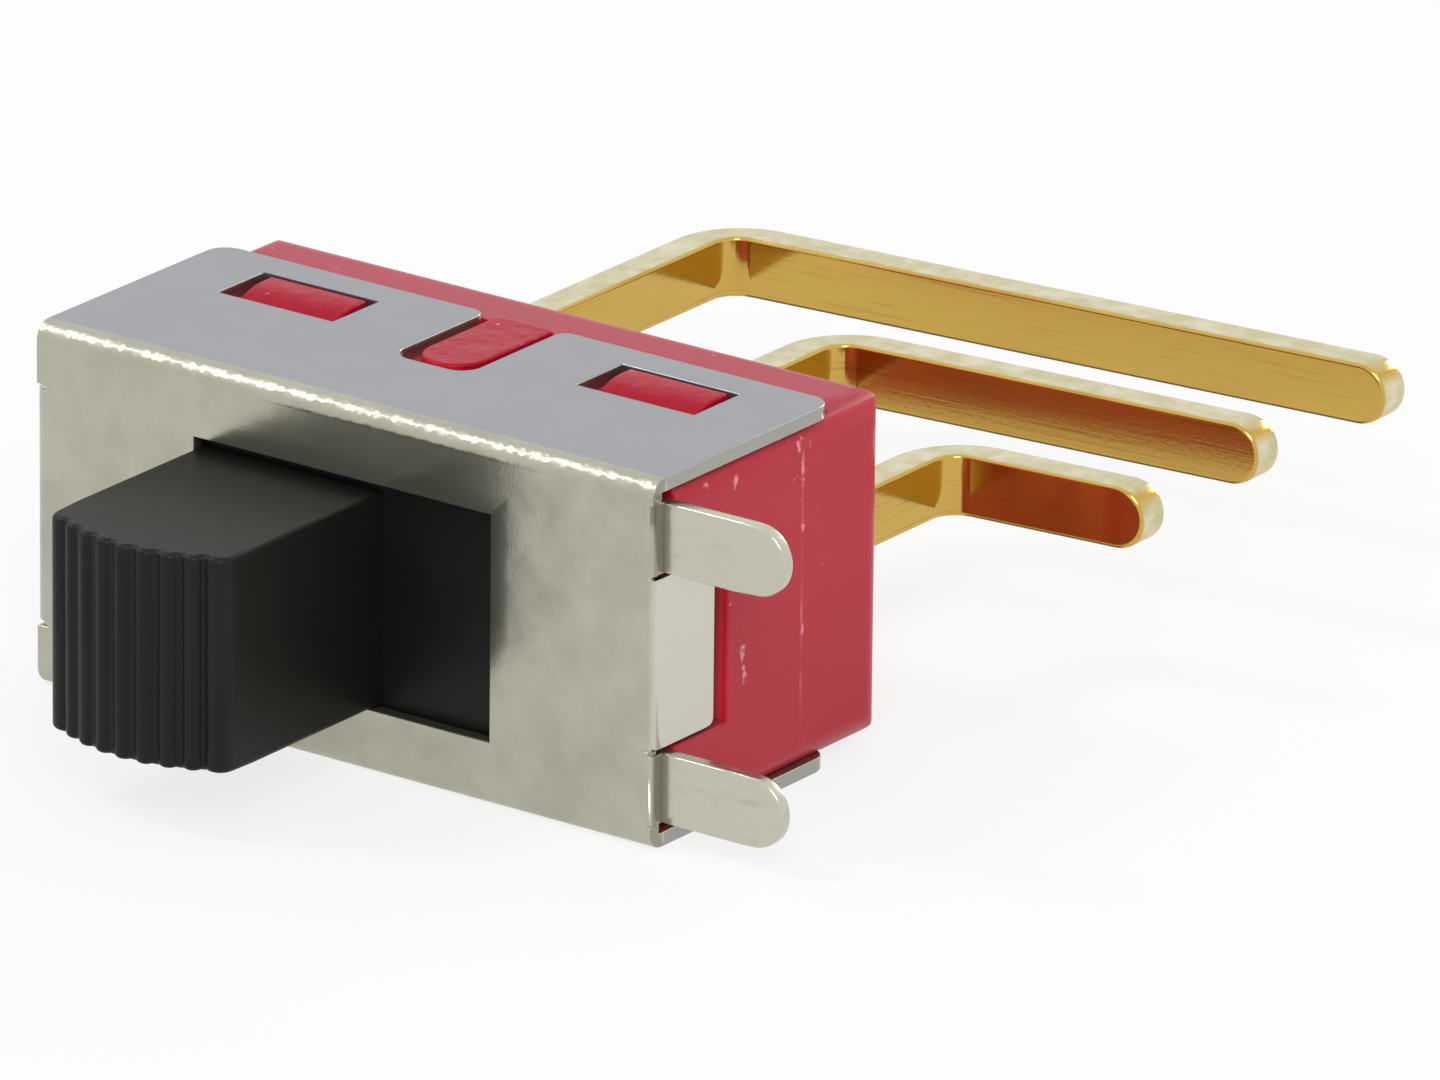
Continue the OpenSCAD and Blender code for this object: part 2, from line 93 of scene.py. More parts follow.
def add(tree: bpy.types.NodeTree, kind: str, feeds: dict | None = None, **settings: object) -> bpy.types.Node:
    """Adds one shader node with its settings, values and links.

    Args:
        tree: The node tree that the node goes in.
        kind: The node's type, without the ShaderNode at its front.
        feeds: Input name or number to a value, or to the output socket that feeds it.
        **settings: Attributes of the node itself.

    Returns:
        The new node.
    """
    node = tree.nodes.new(f"ShaderNode{kind}")
    for name, value in settings.items():
        setattr(node, name, value)
    for key, value in (feeds or {}).items():
        if isinstance(value, bpy.types.NodeSocket):
            tree.links.new(value, node.inputs[key])
        else:
            node.inputs[key].default_value = value
    return node


def calc(tree: bpy.types.NodeTree, operation: str, *values: object) -> bpy.types.NodeSocket:
    """Adds one Math node.

    Args:
        tree: The node tree that the node goes in.
        operation: The sum to do.
        *values: Numbers or sockets, in the node's order.

    Returns:
        The result.
    """
    return add(tree, "Math", dict(enumerate(values)), operation=operation).outputs[0]


def remap(
        tree: bpy.types.NodeTree, value: bpy.types.NodeSocket, low: float, high: float,
        start: float = 0.0, end: float = 1.0) -> bpy.types.NodeSocket:
    """Maps a value from one range to another and clamps it there.

    Args:
        tree: The node tree that the node goes in.
        value: The value to map.
        low: Where the first range starts.
        high: Where the first range ends.
        start: What low becomes.
        end: What high becomes.

    Returns:
        The mapped value.
    """
    return add(tree, "MapRange", {
        "Value": value, "From Min": low, "From Max": high, "To Min": start, "To Max": end}).outputs[0]


def blend(
        tree: bpy.types.NodeTree, share: bpy.types.NodeSocket, below: str | bpy.types.NodeSocket,
        above: str | bpy.types.NodeSocket) -> bpy.types.NodeSocket:
    """Mixes two colours.

    Args:
        tree: The node tree that the node goes in.
        share: How much of the second colour is taken, from 0 to 1.
        below: The first colour, as a hex code or a socket.
        above: The second colour, likewise.

    Returns:
        The mixed colour.
    """
    feeds = {MIX_FACTOR: share}
    for key, tone in ((MIX_A, below), (MIX_B, above)):
        feeds[key] = linear(tone) if isinstance(tone, str) else tone
    return add(tree, "Mix", feeds, data_type="RGBA").outputs[MIX_COLOUR]


def noise(
        tree: bpy.types.NodeTree, at: bpy.types.NodeSocket, size_mm: float, detail: float = 3.0,
        roughness: float = 0.5) -> bpy.types.NodeSocket:
    """Adds a cloudy noise.

    Args:
        tree: The node tree that the node goes in.
        at: The place, in millimetres.
        size_mm: Size of its clouds.
        detail: How many finer layers it has.
        roughness: How strong those layers are.

    Returns:
        A value from 0 to 1, mostly near 0.5.
    """
    return add(tree, "TexNoise", {
        "Vector": at, "Scale": 1 / size_mm, "Detail": detail, "Roughness": roughness}).outputs[0]


@dataclass(frozen=True)
class Finish:
    """A real material with the surface that its making left on it.

    Attributes:
        name: What the material is called, for people.
        slot: Name of a material slot. It is not used.
        grit_mm: Size of the finest grain. The real grain is a few times finer, too fine to show.
        grit_depth_mm: How deep that grain is.
    """

    name: str
    slot: str
    grit_mm: float
    grit_depth_mm: float

    def build(self) -> bpy.types.Material:
        """Makes the material.

        Returns:
            The material, ready to be put on a piece.
        """
        material = bpy.data.materials.new(self.name)
        material.use_nodes = True
        tree = material.node_tree
        tree.nodes.clear()
        place = add(tree, "TexCoord")
        millimetres = add(tree, "VectorMath", {0: place.outputs["Object"], "Scale": 1 / MM}, operation="SCALE")
        shader = self.surface(tree, millimetres.outputs[0])
        add(tree, "OutputMaterial", {"Surface": shader.outputs[0]})
        return material

    def surface(self, tree: bpy.types.NodeTree, at: bpy.types.NodeSocket) -> bpy.types.Node:
        """Makes the shader. Each finish has its own.

        Args:
            tree: The material's node tree.
            at: The place on the piece, in millimetres.

        Returns:
            The node whose first output is the surface.
        """
        raise NotImplementedError

    def grain(self, tree: bpy.types.NodeTree, at: bpy.types.NodeSocket) -> bpy.types.NodeSocket:
        """Makes the bump of the finest grain.

        Args:
            tree: The material's node tree.
            at: The place on the piece, in millimetres.

        Returns:
            The bumped normal, which a coarser bump may take.
        """
        return self.raise_by(tree, noise(tree, at, self.grit_mm, 2.0), self.grit_depth_mm)

    def raise_by(
            self, tree: bpy.types.NodeTree, height: bpy.types.NodeSocket, depth_mm: float,
            over: bpy.types.NodeSocket | None = None) -> bpy.types.NodeSocket:
        """Turns a height into a bump.

        Args:
            tree: The material's node tree.
            height: The height, from 0 to 1.
            depth_mm: How far apart 0 and 1 are.
            over: The bumped normal that this one goes over.

        Returns:
            The bumped normal.
        """
        feeds = {"Height": height, "Distance": depth_mm * MM}
        if over is not None:
            feeds["Normal"] = over
        return add(tree, "Bump", feeds).outputs[0]


@dataclass(frozen=True)
class TinPlate(Finish):
    """Tin-plated cold-rolled steel sheet, blanked and folded."""

    # To the eye: a soft warm mirror in front, clouded and faintly wavy, with duller flanges, pale tabs, and a broken
    # line of glints along each bend. Painted light: greyer flanges as a painted reflection of a cool surround, a
    # painted highlight on faces turned to the ends, and painted shade in the steps at the tab roots
    plate: str = "#B7B5A4"
    cloud: str = "#A19F8F"
    # Painted reflection: a cooler grey for the flanges, standing for the cool surround that they mirror
    flange: str = "#9A9CA0"
    # Painted highlight: a paler tone for faces turned to the ends
    painted_end_highlight: str = "#CDCABE"
    tab: str = "#C4C2B3"
    smudge: str = "#A09D8C"
    sheared: str = "#A3A29B"
    # Painted shade: a darker tone for the steps at the tab roots
    drawn: str = "#9A978B"

    # Tin's thin oxide scatters a little light, so it isn't wholly a mirror
    metallic: float = 0.92
    roughness: float = 0.2
    flange_roughness: float = 0.3
    bend_roughness: float = 0.32
    roughness_spread: Band = (-0.02, 0.06)

    cloud_mm: float = 1.3
    clouding: Fade = (0.4, 0.72, 0.0, 0.6)
    cloud_gloss: Band = (0.3, 0.7)
    streak_mm: float = 0.5
    streak_stretch: tuple[float, float, float] = (0.5, 1.0, 1.6)
    smudging: Fade = (0.5, 0.75, 0.0, 0.4)
    wave_mm: float = 1.1
    wave_depth_mm: float = 0.012
    # The cracks in the bends' plating are about 0.03 mm apart, and are drawn five times as coarse to show
    sparkle_mm: float = 0.15
    sparkle_depth_mm: float = 0.022
    crazing: Band = (0.1, 0.4)

    # Places on the folded sheet
    bend_mm: float = 0.34
    bend_fade_mm: float = 0.06
    half_h_mm: float = 3.2
    flange_fade_mm: Band = (0.13, 0.04)
    end_mm: float = 6.35
    past_end_mm: Band = (0.01, 0.05)
    sheared_z_mm: Band = (0.3, 0.25)
    sheared_fade_mm: float = 0.05
    tab_z_mm: float = 1.54
    tab_fade_mm: float = 0.02
    step_mm: Band = (0.05, 0.02)
    step_turn: Band = (0.3, 0.7)
    step_front_mm: Band = (0.36, 0.3)
    slot_x_mm: float = 3.05
    slot_z_mm: float = 1.98
    slot_drop_mm: float = 0.06
    roll_w_mm: float = 0.4
    roll_depth_mm: float = 0.02

    def surface(self, tree: bpy.types.NodeTree, at: bpy.types.NodeSocket) -> bpy.types.Node:
        """Makes the tin plate's shader.

        Args:
            tree: The material's node tree.
            at: The place on the piece, in millimetres.

        Returns:
            The node whose first output is the surface.
        """
        place = add(tree, "SeparateXYZ", {0: at})
        height = calc(tree, "ABSOLUTE", place.outputs["Z"])
        on_flange = remap(tree, height, *(self.half_h_mm - fade for fade in self.flange_fade_mm))
        behind_bend = remap(tree, place.outputs["Y"], self.bend_mm - self.bend_fade_mm, self.bend_mm)
        on_flange = calc(tree, "MULTIPLY", on_flange, behind_bend)
        clouds = noise(tree, at, self.cloud_mm, 4.0, 0.6)
        tone = self.tone(tree, at, place, clouds, on_flange)
        gloss = remap(tree, clouds, *self.cloud_gloss, *(self.roughness + spread for spread in self.roughness_spread))
        duller = calc(tree, "MULTIPLY", on_flange, self.flange_roughness - self.roughness)
        near_top = remap(tree, height, self.half_h_mm - self.bend_mm, self.half_h_mm)
        near_front = remap(tree, place.outputs["Y"], self.bend_mm, 0.0)
        on_bend = calc(tree, "MINIMUM", near_top, near_front)
        crazed = remap(tree, on_bend, *self.crazing, 0.0, self.bend_roughness - self.roughness)
        gloss = calc(tree, "ADD", gloss, calc(tree, "MAXIMUM", duller, crazed))
        return add(tree, "BsdfPrincipled", {
            "Base Color": tone, "Metallic": self.metallic, "Roughness": gloss,
            "Normal": self.relief(tree, at, place, on_bend)})

    def tone(
            self, tree: bpy.types.NodeTree, at: bpy.types.NodeSocket, place: bpy.types.Node,
            clouds: bpy.types.NodeSocket, on_flange: bpy.types.NodeSocket) -> bpy.types.NodeSocket:
        """Makes the plating's colour: clouded in front, greyer on the flanges as a painted reflection, paler on faces
        turned to the ends as a painted highlight, paler on the tabs, and darker in the steps at the tab roots as
        painted shade.

        Args:
            tree: The material's node tree.
            at: The place on the piece, in millimetres.
            place: That place, taken apart.
            clouds: The noise that clouds the plating.
            on_flange: 1 on the flanges and 0 elsewhere.

        Returns:
            The colour.
        """
        facing = add(tree, "SeparateXYZ", {0: add(tree, "NewGeometry").outputs["Normal"]})
        end_on = calc(tree, "ABSOLUTE", facing.outputs["X"])
        tone = blend(tree, remap(tree, clouds, *self.clouding), self.plate, self.cloud)
        # Painted highlight: faces turned to either end are painted paler
        facing_end = remap(tree, end_on, *FACING)
        tone = blend(tree, facing_end, tone, self.painted_end_highlight)
        past_end = remap(tree, place.outputs["X"], *(self.end_mm + past for past in self.past_end_mm))
        stroke = add(tree, "VectorMath", {0: at, 1: self.streak_stretch}, operation="MULTIPLY")
        smudges = noise(tree, stroke.outputs[0], self.streak_mm, 3.0, 0.6)
        tab = blend(tree, remap(tree, smudges, *self.smudging), self.tab, self.smudge)
        tone = blend(tree, past_end, tone, tab)
        # Painted reflection: the flanges are painted a cooler grey, for the cool surround that they mirror
        tone = blend(tree, on_flange, tone, self.flange)
        # The flanges' sheared ends are a little warmer than their faces
        height = calc(tree, "ABSOLUTE", place.outputs["Z"])
        high = remap(tree, height, *(self.half_h_mm - under for under in self.sheared_z_mm))
        behind = remap(tree, place.outputs["Y"], self.bend_mm, self.bend_mm + self.sheared_fade_mm)
        cut = calc(tree, "MULTIPLY", facing_end, calc(tree, "MULTIPLY", high, behind))
        tone = blend(tree, cut, tone, self.sheared)
        # Painted shade: where the tabs step back from the plate, the turned face of the step is painted darker
        off_end = calc(tree, "ABSOLUTE", calc(tree, "SUBTRACT", place.outputs["X"], self.end_mm))
        at_step = remap(tree, off_end, *self.step_mm)
        beside = remap(tree, height, self.tab_z_mm, self.tab_z_mm + self.tab_fade_mm)
        turned = remap(tree, end_on, *self.step_turn)
        step = calc(tree, "MULTIPLY", calc(tree, "MINIMUM", at_step, beside), turned)
        ahead = remap(tree, place.outputs["Y"], *self.step_front_mm)
        return blend(tree, calc(tree, "MULTIPLY", step, ahead), tone, self.drawn)

    def relief(
            self, tree: bpy.types.NodeTree, at: bpy.types.NodeSocket, place: bpy.types.Node,
            on_bend: bpy.types.NodeSocket) -> bpy.types.NodeSocket:
        """Makes the sheet's relief: grain, slow waves, the sunk rim of the slot and the cracked plating of the bends.

        Args:
            tree: The material's node tree.
            at: The place on the piece, in millimetres.
            place: That place, taken apart.
            on_bend: 1 in the middle of the bends and 0 off them.

        Returns:
            The bumped normal.
        """
        bumped = self.grain(tree, at)
        bumped = self.raise_by(tree, noise(tree, at, self.wave_mm, 2.0), self.wave_depth_mm, bumped)
        # The punch drew the sheet in a little round the slot
        across = calc(tree, "SUBTRACT", calc(tree, "ABSOLUTE", place.outputs["X"]), self.slot_x_mm)
        low = calc(tree, "ADD", place.outputs["Z"], self.slot_drop_mm)
        over = calc(tree, "SUBTRACT", calc(tree, "ABSOLUTE", low), self.slot_z_mm)
        off_slot = calc(tree, "MAXIMUM", across, over)
        drawn = calc(tree, "POWER", remap(tree, off_slot, 0.0, self.roll_w_mm, 1.0, 0.0), 2.0)
        bumped = self.raise_by(tree, calc(tree, "SUBTRACT", 1.0, drawn), self.roll_depth_mm, bumped)
        # The plating cracks where the sheet is bent, which breaks the bend's glint into sparkles
        flakes = add(tree, "TexVoronoi", {"Vector": at, "Scale": 1 / self.sparkle_mm}).outputs["Distance"]
        return self.raise_by(tree, calc(tree, "MULTIPLY", flakes, on_bend), self.sparkle_depth_mm, bumped)


@dataclass(frozen=True)
class MouldedResin(Finish):
    """Crimson diallyl phthalate, a glass-filled thermoset, compression moulded."""

    # To the eye: a hard, faintly cloudy red with a low gloss, with pale nicks and a broken pale line where the mould's
    # halves met. Painted light and shade: a deeper red in the windows, darker flat sides, paler rear faces and
    # brighter faces turned to the front
    body: str = "#C03745"
    deep: str = "#B4303E"
    # Painted shade: a darker red for the flat sides
    flat_side_shade: str = "#AC3C4C"
    # Painted light: a paler tone for the faces that turn to the rear
    rear_painted_light: str = "#D4746C"
    # Painted shade: a deeper red for the ramps and the key in the steel's windows
    window_shade: str = "#AA0A2A"
    # Painted light: a brighter crimson for faces turned to the front
    front_painted_light: str = "#D2202F"
    nick: str = "#EC909A"
    ior: float = 1.57
    roughness: float = 0.33
    specular: float = 0.12
    depth_share: float = 0.3
    depth_mm: tuple[float, float, float] = (0.5, 0.07, 0.07)

    cloud_mm: float = 2.2
    wrinkle_mm: float = 0.5
    wrinkle_depth_mm: float = 0.045
    # How far faces turn to the rear, and then to the front, for their painted light
    rear_light_turn: Band = (0.45, 0.7)
    front_light_turn: Band = (-0.6, -0.9)

    # Places on the case
    end_x_mm: float = 6.3
    end_fade_mm: float = 0.01
    ledge_z_mm: float = 2.97
    flange_y_mm: float = 4.98

    # Small nicks, which come in patches
    nick_mm: float = 0.2
    nick_rise_mm: float = 0.02
    nick_cut: Band = (0.66, 0.72)
    nick_patch: float = 5.0
    nick_patch_cut: Band = (0.55, 0.62)

    # The parting line's flash, broken along its length and fainter low down
    parting_y_mm: float = 4.12
    parting_w_mm: float = 0.05
    flash_patch: float = 4.0
    flash_break: Fade = (0.45, 0.65, 0.04, 0.45)
    flash_fade: Fade = (-2.0, -0.8, 0.15, 1.0)

    # Larger nicks in the board end: how far back and how high each one is, and half its width and length
    nicks_mm: tuple[tuple[float, float, float, float], ...] = (
        (1.49, 2.72, 0.05, 0.07), (2.27, 2.57, 0.06, 0.09), (4.02, 2.76, 0.06, 0.18), (4.12, 2.25, 0.05, 0.24),
        (4.15, -0.56, 0.045, 0.11), (2.49, -0.47, 0.055, 0.13), (2.54, -0.85, 0.05, 0.13), (4.14, 1.25, 0.05, 0.06))
    rag_size: float = 0.4
    rag_depth: float = 4.0
    nick_edge: Band = (1.2, 0.6)

    def surface(self, tree: bpy.types.NodeTree, at: bpy.types.NodeSocket) -> bpy.types.Node:
        """Makes the moulded resin's shader.

        Args:
            tree: The material's node tree.
            at: The place on the piece, in millimetres.

        Returns:
            The node whose first output is the surface.
        """
        marks = self.marks(tree, at)
        place = add(tree, "SeparateXYZ", {0: at})
        facing = add(tree, "SeparateXYZ", {0: add(tree, "NewGeometry").outputs["Normal"]})
        tone = blend(tree, noise(tree, at, self.cloud_mm), self.body, self.deep)
        # Painted shade: faces that turn up or down are painted a darker red than the ends
        flatness = calc(tree, "ABSOLUTE", facing.outputs["Z"])
        tone = blend(tree, remap(tree, flatness, *FACING), tone, self.flat_side_shade)
        # Painted light: faces that turn to the rear are painted paler
        tone = blend(tree, remap(tree, facing.outputs["Y"], *self.rear_light_turn), tone, self.rear_painted_light)
        # Painted shade: the ramps and the key inside the steel's windows are painted a deeper red
        high = calc(tree, "GREATER_THAN", calc(tree, "ABSOLUTE", place.outputs["Z"]), self.ledge_z_mm)
        framed = calc(tree, "MULTIPLY", high, calc(tree, "LESS_THAN", place.outputs["Y"], self.flange_y_mm))
        tone = blend(tree, framed, tone, self.window_shade)
        # Painted light: faces that turn to the front, the pockets' walls among them, are painted a brighter crimson
        front_lit = remap(tree, facing.outputs["Y"], *self.front_light_turn)
        tone = blend(tree, front_lit, tone, self.front_painted_light)
        tone = blend(tree, marks, tone, self.nick)
        bumped = self.raise_by(tree, marks, self.nick_rise_mm, self.grain(tree, at))
        wrinkles = calc(tree, "MULTIPLY", noise(tree, at, self.wrinkle_mm, 2.0), framed)
        bumped = self.raise_by(tree, wrinkles, self.wrinkle_depth_mm, bumped)
        return add(tree, "BsdfPrincipled", {
            "Base Color": tone, "Roughness": self.roughness, "IOR": self.ior, "Specular IOR Level": self.specular,
            "Subsurface Weight": self.depth_share, "Subsurface Radius": self.depth_mm, "Subsurface Scale": MM,
            "Normal": bumped})

    def marks(self, tree: bpy.types.NodeTree, at: bpy.types.NodeSocket) -> bpy.types.NodeSocket:
        """Makes the pale marks: scattered nicks, the parting line's broken flash and the larger nicks at the ends.

        Args:
            tree: The material's node tree.
            at: The place on the piece, in millimetres.

        Returns:
            1 on a mark and 0 elsewhere.
        """
        place = add(tree, "SeparateXYZ", {0: at})
        out = calc(tree, "ABSOLUTE", place.outputs["X"])
        at_end = remap(tree, out, self.end_x_mm - self.end_fade_mm, self.end_x_mm)
        at_board = calc(tree, "GREATER_THAN", place.outputs["X"], self.end_x_mm)
        small = noise(tree, at, self.nick_mm, 3.0, 0.65)
        allowed = remap(tree, noise(tree, at, self.nick_patch * self.nick_mm, 1.0), *self.nick_patch_cut)
        marks = calc(tree, "MULTIPLY", remap(tree, small, *self.nick_cut), allowed)
        away = calc(tree, "ABSOLUTE", calc(tree, "SUBTRACT", place.outputs["Y"], self.parting_y_mm))
        line = remap(tree, away, self.parting_w_mm, self.parting_w_mm / 3)
        broken = remap(tree, noise(tree, at, self.flash_patch * self.nick_mm, 2.0), *self.flash_break)
        line = calc(tree, "MULTIPLY", calc(tree, "MULTIPLY", line, at_end), broken)
        line = calc(tree, "MULTIPLY", line, remap(tree, place.outputs["Z"], *self.flash_fade))
        marks = calc(tree, "MAXIMUM", marks, line)
        # A little wander makes the larger nicks ragged
        wander = noise(tree, at, self.rag_size * self.nick_mm, 3.0, 0.6)
        ragged = calc(tree, "MULTIPLY", calc(tree, "SUBTRACT", wander, 0.5), self.rag_depth)
        for back, up, half_w, half_len in self.nicks_mm:
            off = add(tree, "VectorMath", {0: at, 1: (0.0, back, up)}, operation="SUBTRACT")
            off = add(tree, "VectorMath", {
                0: off.outputs[0], 1: (0.0, 1 / half_w, 1 / half_len)}, operation="MULTIPLY")
            reach = add(tree, "VectorMath", {0: off.outputs[0]}, operation="LENGTH").outputs["Value"]
            spot = remap(tree, calc(tree, "ADD", reach, ragged), *self.nick_edge)
            marks = calc(tree, "MAXIMUM", marks, calc(tree, "MULTIPLY", spot, at_board))
        return marks


@dataclass(frozen=True)
class CastEpoxy(Finish):
    """Epoxy sealing compound, poured into the case's back and cured."""

    # To the eye: a smooth, glassy red-brown skin with slow ripples, paler where it is thin
    body: str = "#C45A56"
    thin: str = "#CE6A60"
    ior: float = 1.55
    roughness: float = 0.16
    specular: float = 0.35
    cloud_mm: float = 1.6

    def surface(self, tree: bpy.types.NodeTree, at: bpy.types.NodeSocket) -> bpy.types.Node:
        """Makes the epoxy's shader.

        Args:
            tree: The material's node tree.
            at: The place on the piece, in millimetres.

        Returns:
            The node whose first output is the surface.
        """
        tone = blend(tree, noise(tree, at, self.cloud_mm, 2.0), self.body, self.thin)
        return add(tree, "BsdfPrincipled", {
            "Base Color": tone, "Roughness": self.roughness, "IOR": self.ior, "Specular IOR Level": self.specular,
            "Normal": self.grain(tree, at)})


@dataclass(frozen=True)
class MouldedNylon(Finish):
    """Black nylon, injection moulded in a spark-eroded mould."""

    # To the eye: a soft black satin that greys at a flat angle, with a few specks of dust
    body: str = "#131311"
    bloom: str = "#1A1A18"
    dust: str = "#7E7C74"
    ior: float = 1.53
    roughness: float = 0.42
    specular: float = 0.18
    cloud_mm: float = 2.0
    speck_mm: float = 1.1
    speck_r: float = 0.035
    speck_share: float = 0.4

    def surface(self, tree: bpy.types.NodeTree, at: bpy.types.NodeSocket) -> bpy.types.Node:
        """Makes the nylon's shader.

        Args:
            tree: The material's node tree.
            at: The place on the piece, in millimetres.

        Returns:
            The node whose first output is the surface.
        """
        tone = blend(tree, noise(tree, at, self.cloud_mm), self.body, self.bloom)
        specks = add(tree, "TexVoronoi", {"Vector": at, "Scale": 1 / self.speck_mm})
        speck = remap(tree, specks.outputs["Distance"], self.speck_r, self.speck_r / 2)
        chosen = add(tree, "SeparateColor", {0: specks.outputs["Color"]})
        some = calc(tree, "LESS_THAN", chosen.outputs[0], self.speck_share)
        tone = blend(tree, calc(tree, "MULTIPLY", speck, some), tone, self.dust)
        return add(tree, "BsdfPrincipled", {
            "Base Color": tone, "Roughness": self.roughness, "IOR": self.ior, "Specular IOR Level": self.specular,
            "Normal": self.grain(tree, at)})


@dataclass(frozen=True)
class GoldPlate(Finish):
    """Gold plate over a copper-alloy strip that was rolled, blanked and bent."""

    # To the eye: polished golden faces with fine lengthwise lines, which mirror the case, and paler cut edges, with a
    # painted dark line of shade along the lower ones
    face: str = "#CAA754"
    edge: str = "#C8BF90"
    pale: str = "#DBD3B4"
    worn: str = "#98752F"
    # Painted shade for the rounded edges that turn down
    underside_shade: str = "#5A4920"
    roughness: float = 0.12

    # The rolls' lines are about 0.005 mm apart, and are drawn ten times as coarse to show
    line_mm: float = 0.05
    line_len_mm: float = 3.0
    line_depth_mm: float = 0.0006
    wearing: Fade = (0.56, 0.78, 0.0, 0.6)
    patch_mm: float = 0.5
    patching: Band = (0.4, 0.64)

    tip_x_mm: float = 7.6
    cut_turn: Band = (0.75, 0.95)
    # Where the painted shade of the lower edges starts and ends as they turn down, and how far they may turn to the
    # ends
    under_shade_turn: Band = (-0.15, -0.4)
    under_turn: Band = (-0.95, -0.85)
    round_turn: Band = (0.3, 0.15)
    # How far the broad faces look up, as a slope
    lean: float = 0.014

    def surface(self, tree: bpy.types.NodeTree, at: bpy.types.NodeSocket) -> bpy.types.Node:
        """Makes the gold plate's shader.

        Args:
            tree: The material's node tree.
            at: The place on the piece, in millimetres.

        Returns:
            The node whose first output is the surface.
        """
        facing = add(tree, "SeparateXYZ", {0: add(tree, "NewGeometry").outputs["Normal"]})
        place = add(tree, "SeparateXYZ", {0: at})
        end_on = calc(tree, "ABSOLUTE", facing.outputs["X"])
        tip = calc(tree, "GREATER_THAN", place.outputs["X"], self.tip_x_mm)
        cut = calc(tree, "MAXIMUM", calc(tree, "ABSOLUTE", facing.outputs["Z"]), calc(tree, "MULTIPLY", end_on, tip))
        cut_edge = remap(tree, cut, *self.cut_turn)
        # Along the strip the lines are long, and across it, in height, they are fine
        along = add(tree, "VectorMath", {
            0: at, 1: (1 / self.line_len_mm, 1 / self.line_len_mm, 1 / self.line_mm)}, operation="MULTIPLY")
        lines = noise(tree, along.outputs[0], 1.0, 3.0, 0.6)
        tone = blend(tree, remap(tree, lines, *self.wearing), self.face, self.worn)
        patches = noise(tree, at, self.patch_mm, 3.0, 0.6)
        edge = blend(tree, remap(tree, patches, *self.patching), self.edge, self.pale)
        tone = blend(tree, cut_edge, tone, edge)
        # Painted shade: the rounded lower edges, which turn down, are painted dark
        turned = facing.outputs["Z"]
        shaded_under = calc(tree, "MINIMUM", remap(tree, turned, *self.under_shade_turn), remap(tree, turned, *self.under_turn))
        shaded_under = calc(tree, "MINIMUM", shaded_under, remap(tree, end_on, *self.round_turn))
        tone = blend(tree, shaded_under, tone, self.underside_shade)
        bumped = self.raise_by(tree, lines, self.line_depth_mm, self.grain(tree, at))
        # The strips lie a little out of true, so their broad faces look up by less than a degree
        down = calc(tree, "MULTIPLY", place.outputs["Z"], -1.0)
        bumped = self.raise_by(tree, down, self.lean, bumped)
        return add(tree, "BsdfPrincipled", {
            "Base Color": tone, "Metallic": 1.0, "Roughness": self.roughness, "Normal": bumped})


@dataclass(frozen=True)
class BareMetal(Finish):
    """A plain metal inside the case, such as silver contact faces or drawn spring wire."""

    # To the eye: a clean pale metal with a soft, slightly uneven shine
    body: str = "#D9D6CC"
    roughness: float = 0.25
    roughness_spread: Band = (-0.06, 0.1)
    cloud_mm: float = 0.7

    def surface(self, tree: bpy.types.NodeTree, at: bpy.types.NodeSocket) -> bpy.types.Node:
        """Makes the metal's shader.

        Args:
            tree: The material's node tree.
            at: The place on the piece, in millimetres.

        Returns:
            The node whose first output is the surface.
        """
        spread = (self.roughness + share for share in self.roughness_spread)
        gloss = remap(tree, noise(tree, at, self.cloud_mm), 0.0, 1.0, *spread)
        return add(tree, "BsdfPrincipled", {
            "Base Color": linear(self.body), "Metallic": 1.0, "Roughness": gloss,
            "Normal": self.grain(tree, at)})


@dataclass(frozen=True)
class EdgeZone:
    """A box, and its mirror image below, in which edges are rounded by their own radius.

    Attributes:
        low_mm: Lowest corner of the box.
        high_mm: Highest corner of the box.
        radius_mm: Radius of the edges in it.
    """

    low_mm: tuple[float, float, float]
    high_mm: tuple[float, float, float]
    radius_mm: float

    def holds(self, edge: bmesh.types.BMEdge) -> bool:
        """Says whether both ends of an edge lie in the box.

        Args:
            edge: The edge to test.

        Returns:
            True if they do.
        """
        ends = [(v.co.x / MM, v.co.y / MM, abs(v.co.z) / MM) for v in edge.verts]
        return all(low <= c <= high for end in ends for c, low, high in zip(end, self.low_mm, self.high_mm))


